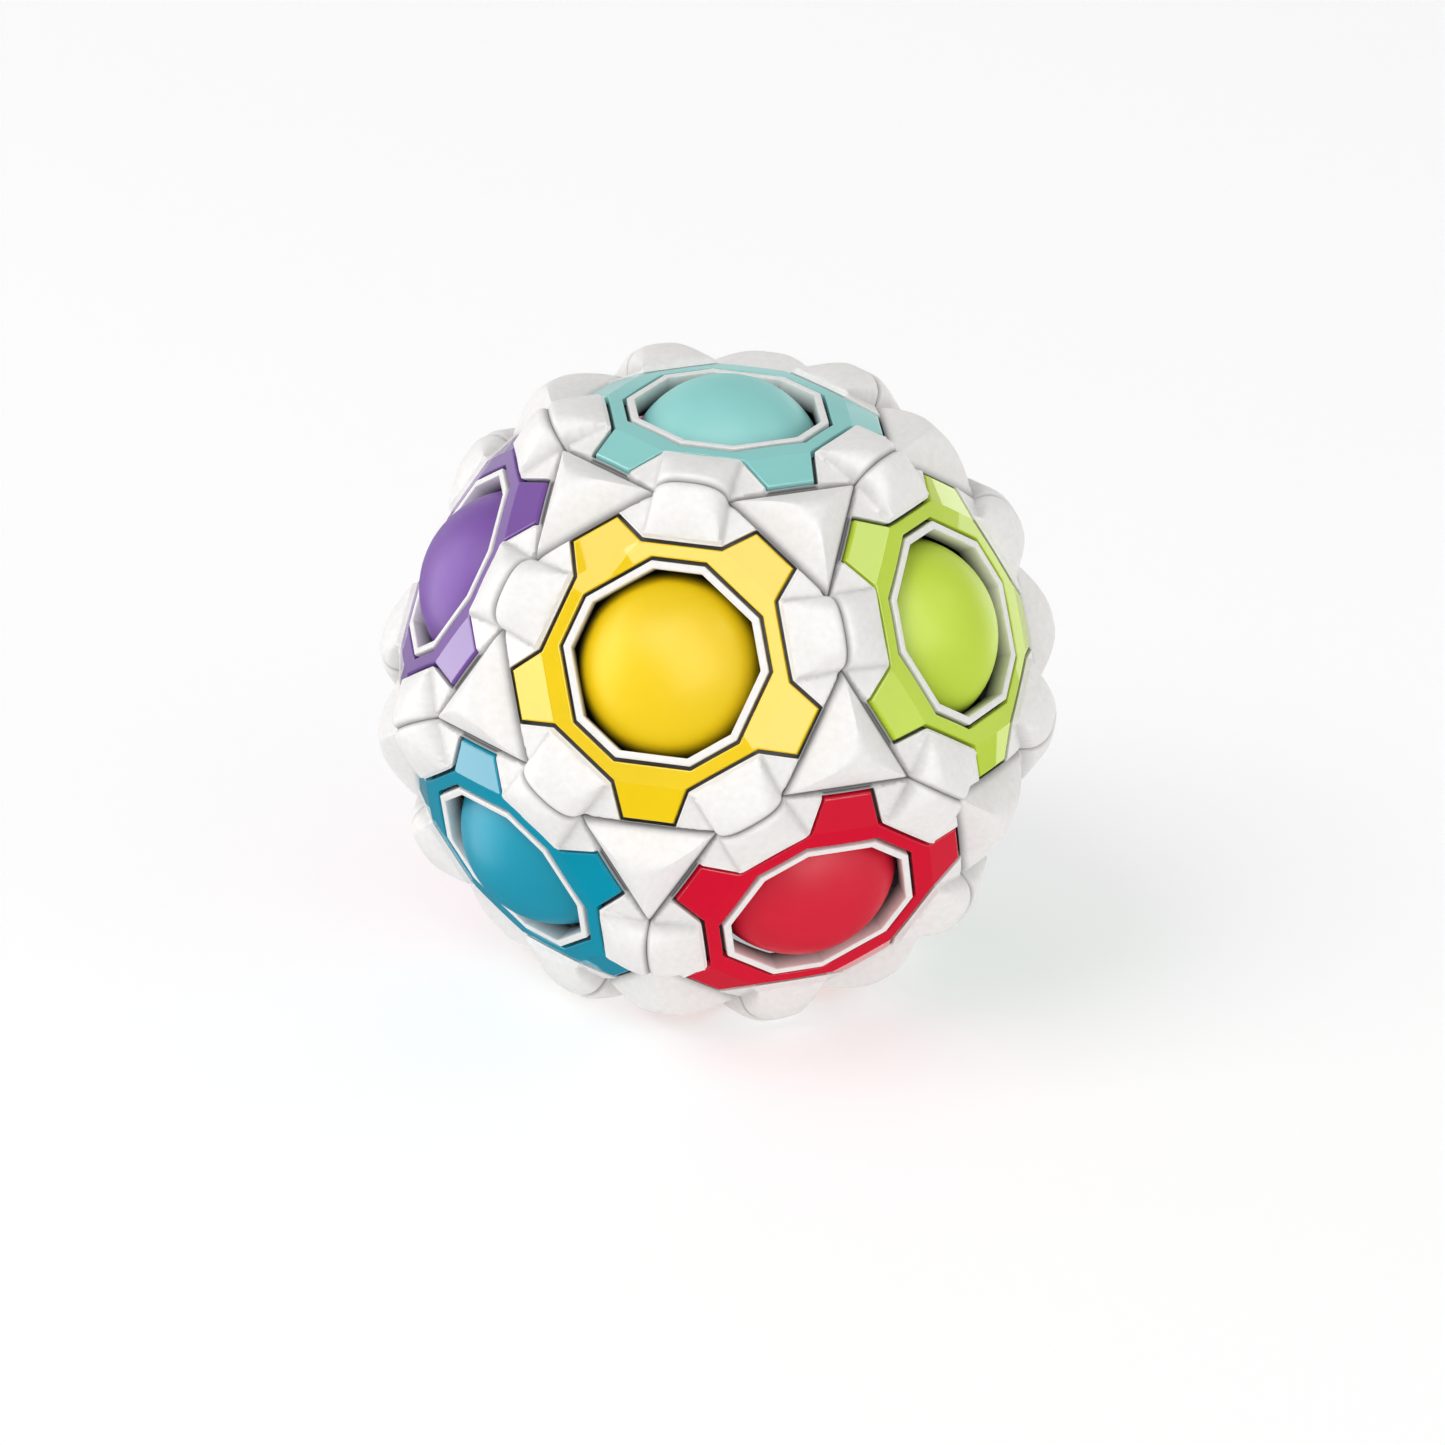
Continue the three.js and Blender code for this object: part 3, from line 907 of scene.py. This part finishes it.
def colour_plastic(name, colour, rough, coat):
    """Moulded plastic; the bezels have a clear gloss coat, and the balls are satin."""
    material, nodes, links, shader = node_material(name)
    shade = [0.95 * c for c in colour]
    tone = ramp(nodes, links, noise(nodes, links, 90).outputs["Fac"], [(0.3, shade), (0.7, colour)])
    # Painted shade: the colour goes over to near-black where the mesh keeps a painted shade, which only the balls
    # do.
    tone_with_painted_shade = with_painted_shade(nodes, links, tone.outputs["Color"], [0.03 * c for c in colour])
    links.new(tone_with_painted_shade, shader.inputs["Base Color"])
    gloss = ramp(nodes, links, noise(nodes, links, 700).outputs["Fac"],
                 [(0.3, (rough * 0.9,) * 3), (0.7, (rough * 1.1,) * 3)])
    links.new(gloss.outputs["Color"], shader.inputs["Roughness"])
    shader.inputs["Coat Weight"].default_value = coat
    shader.inputs["Coat Roughness"].default_value = 0.02
    shader.inputs["Specular IOR Level"].default_value = 0.28 * (1 - coat)
    if not coat:
        grain(nodes, links, shader, scale=500, strength=0.02, depth=0.00002)
    return material


def foam_rubber():
    """Matt dark grey foam with a coarse mottle."""
    material, nodes, links, shader = node_material("core_foam")
    tone = ramp(nodes, links, noise(nodes, links, 1500).outputs["Fac"],
                [(0.35, (0.10, 0.105, 0.11)), (0.65, (0.20, 0.205, 0.215))])
    links.new(tone.outputs["Color"], shader.inputs["Base Color"])
    shader.inputs["Roughness"].default_value = 0.9
    grain(nodes, links, shader, scale=2200, strength=0.6, depth=0.0002)
    return material


def linear(*srgb):
    """A colour given in 0 to 255 as the screen shows it, as the shader wants it."""
    parts = [c / 255 for c in srgb]
    return [c / 12.92 if c <= 0.04045 else ((c + 0.055) / 1.055) ** 2.4 for c in parts]


COLOURS = {
    "mint": (148, 217, 213),
    "yellow": (250, 212, 0),
    "lime": (200, 226, 66),
    "orange": (245, 130, 32),
    "pink": (242, 155, 193),
    "purple": (126, 84, 168),
    "red": (220, 16, 50),
    "green": (31, 157, 85),
    "blue": (35, 80, 180),
    "magenta": (200, 50, 140),
    "teal": (0, 152, 180),
    "coral": (247, 165, 140),
}


# ---- Putting the pieces in the frame -----------------------------------------------------------
core_joint = next(j for j in frame["joints"] if j["name"] == "core_turn")
CENTRE = Vector(core_joint["pos_m"])
body_of_node = {n: b for b, nodes in frame["record"]["behaviour"]["bodies"].items() for n in nodes}


def place(mesh, name, node, slot, material, matrix):
    """A copy of a mesh in millimetres, put in the frame for a CAD node and riding on its body."""
    copy = mesh.copy()
    copy.transform(Matrix.Translation(CENTRE) @ Matrix.Scale(MM, 4) @ matrix)
    copy.name = name
    copy.materials.append(material)
    piece = bpy.data.objects.new(name, copy)
    bpy.context.scene.collection.objects.link(piece)
    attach(piece, body_of_node[node])
    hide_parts(node)
    return piece


UPPER = ["yellow", "lime", "orange", "pink", "purple"]
LOWER = ["red", "green", "blue", "magenta", "teal"]
UP, DOWN = Vector((0, 0, 1)), Vector((0, 0, -1))
START = -math.pi / 2  # azimuth of the yellow face, in front

faces = [("mint", UP, Vector(toward(FACE_TO_FACE, START)))]
for i, colour in enumerate(UPPER):
    faces.append((colour, Vector(toward(FACE_TO_FACE, START + SIDE_STEP * i)), UP))
for i, colour in enumerate(LOWER):
    azimuth = START + SIDE_STEP * (i + 0.5)
    faces.append((colour, Vector(toward(math.pi - FACE_TO_FACE, azimuth)), DOWN))
faces.append(("coral", DOWN, Vector(toward(math.pi - FACE_TO_FACE, START + SIDE_STEP / 2))))

white = white_plastic()
panel = panel_mesh()
bezel = bezel_mesh()
ball = ball_mesh()
for colour, axis, side in faces:
    turn = turn_to(axis, side)
    rgb = linear(*COLOURS[colour])
    place(panel, f"{colour}_panel", f"panel_{colour}", "white_shell", white, turn)
    gloss = colour_plastic(f"{colour}_bezel", rgb, rough=0.25, coat=1.0)
    place(bezel, f"{colour}_bezel", f"bezel_{colour}", f"{colour}_plastic", gloss, turn)
    node = f"ball_{colour}"
    if node in frame["nodes"]:
        low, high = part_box(node)
        seat = ((low + high) / 2 - CENTRE).length / MM
        satin = colour_plastic(f"{colour}_ball", rgb, rough=0.42, coat=0.0)
        place(ball, f"{colour}_ball", node, f"{colour}_plastic", satin,
              turn @ Matrix.Translation((0, 0, seat)))

cap = cap_mesh()
triples = combinations([axis for _, axis, _ in faces], 3)
meeting = [(a, b, c) for a, b, c in triples if min(a.dot(b), b.dot(c), a.dot(c)) > NEIGHBOUR_DOT]
for number, (a, b, c) in enumerate(meeting, start=1):
    matrix = turn_to(a + b + c, a + b)
    place(cap, f"cap_{number:02d}", f"corner_cap_{number:02d}", "white_shell", white, matrix)

low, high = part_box("ball_blue")
blue_place = ((low + high) / 2 - CENTRE) / MM
place(core_mesh(blue_place), "foam_core", "soft_core", "core_rubber", foam_rubber(),
      Matrix.Identity(4))


# ---- Floor, light and camera -------------------------------------------------------------------
# How bright the world is, from straight down at 0 to the horizon at 0.5 and straight up at 1.
WORLD_STOPS = [(0.1, 0.1), (0.3, 0.3), (0.48, 0.8), (0.56, 0.95), (0.68, 0.5), (1.0, 0.45)]

# Where the camera stands, in degrees round, up and rolled, and in metres from the puzzle's centre.
CAMERA_AZIMUTH, CAMERA_ELEVATION, CAMERA_ROLL = 11.15, 24.3, 2.5
CAMERA_DISTANCE = 0.998
CAMERA_LENS, CAMERA_SENSOR = 244, 36
CAMERA_SHIFT = (0.0039, -0.0289)


def make_floor():
    bm = bmesh.new()
    bmesh.ops.create_grid(bm, x_segments=1, y_segments=1, size=3.0)
    mesh = bpy.data.meshes.new("floor")
    bm.to_mesh(mesh)
    bm.free()
    floor = bpy.data.objects.new("floor", mesh)
    bpy.context.scene.collection.objects.link(floor)
    material, nodes, links, shader = node_material("floor")
    shader.inputs["Base Color"].default_value = (0.6, 0.6, 0.6, 1)
    shader.inputs["Roughness"].default_value = 0.8
    shader.inputs["Emission Color"].default_value = (1, 1, 1, 1)
    shader.inputs["Emission Strength"].default_value = 0.46
    mesh.materials.append(material)
    floor.visible_glossy = False


def softbox(name, azimuth, elevation, distance, size, radiance, roll=0, gloss_only=False):
    """A rectangle of even light that faces the puzzle; azimuth 0 is straight in front."""
    data = bpy.data.lights.new(name, "AREA")
    data.shape = "RECTANGLE"
    data.size, data.size_y = size
    data.energy = radiance * math.pi * size[0] * size[1]
    light = bpy.data.objects.new(name, data)
    direction = Vector(toward(math.radians(90 - elevation), math.radians(azimuth - 90)))
    facing = (-direction).to_track_quat("-Z", "Y").to_matrix().to_4x4()
    turned = facing @ Matrix.Rotation(math.radians(roll), 4, "Z")
    light.matrix_world = Matrix.Translation(CENTRE + direction * distance) @ turned
    light.visible_diffuse = not gloss_only
    bpy.context.scene.collection.objects.link(light)


def make_world():
    """White at the horizon, dimmer overhead, and dark below, where only reflections look."""
    world = bpy.data.worlds.new("studio")
    world.use_nodes = True
    nodes, links = world.node_tree.nodes, world.node_tree.links
    direction = nodes.new("ShaderNodeTexCoord")
    parts = nodes.new("ShaderNodeSeparateXYZ")
    share = nodes.new("ShaderNodeMapRange")
    share.inputs["From Min"].default_value = -1
    links.new(direction.outputs["Generated"], parts.inputs["Vector"])
    links.new(parts.outputs["Z"], share.inputs["Value"])
    shade = ramp(nodes, links, share.outputs["Result"], [(p, (v, v, v)) for p, v in WORLD_STOPS])
    links.new(shade.outputs["Color"], nodes["Background"].inputs["Color"])
    bpy.context.scene.world = world


def make_camera():
    azimuth, elevation, roll = map(math.radians, (CAMERA_AZIMUTH, CAMERA_ELEVATION, CAMERA_ROLL))
    back = Vector((math.sin(azimuth) * math.cos(elevation),
                   -math.cos(azimuth) * math.cos(elevation), math.sin(elevation)))
    up = (UP - back * UP.dot(back)).normalized()
    up.rotate(Matrix.Rotation(roll, 3, back))
    right = up.cross(back)
    data = bpy.data.cameras.new("camera")
    data.lens = CAMERA_LENS
    data.sensor_width = CAMERA_SENSOR
    data.shift_x, data.shift_y = CAMERA_SHIFT
    data.clip_start, data.clip_end = 0.05, 20
    camera = bpy.data.objects.new("camera", data)
    rotation = Matrix((right, up, back)).transposed().to_4x4()
    camera.matrix_world = Matrix.Translation(CENTRE + back * CAMERA_DISTANCE) @ rotation
    bpy.context.scene.collection.objects.link(camera)
    bpy.context.scene.camera = camera


bpy.context.scene.view_settings.view_transform = "Standard"
make_floor()
make_world()
softbox("key", azimuth=-45, elevation=52, distance=1.3, size=(0.8, 0.8), radiance=3.3)
softbox("fill", azimuth=75, elevation=15, distance=1.3, size=(0.8, 0.8), radiance=1.0)
softbox("right_glint", azimuth=24, elevation=42, distance=1.6, size=(1.7, 2.7), radiance=4.5,
        roll=27, gloss_only=True)
softbox("left_glint", azimuth=-82, elevation=4, distance=1.3, size=(1.3, 2.0), radiance=4.4,
        gloss_only=True)
softbox("side_glint", azimuth=98, elevation=46, distance=1.3, size=(0.5, 0.6), radiance=3.0,
        gloss_only=True)
softbox("back_glint", azimuth=155, elevation=-8, distance=1.3, size=(1.0, 0.8), radiance=1.6,
        gloss_only=True)
make_camera()
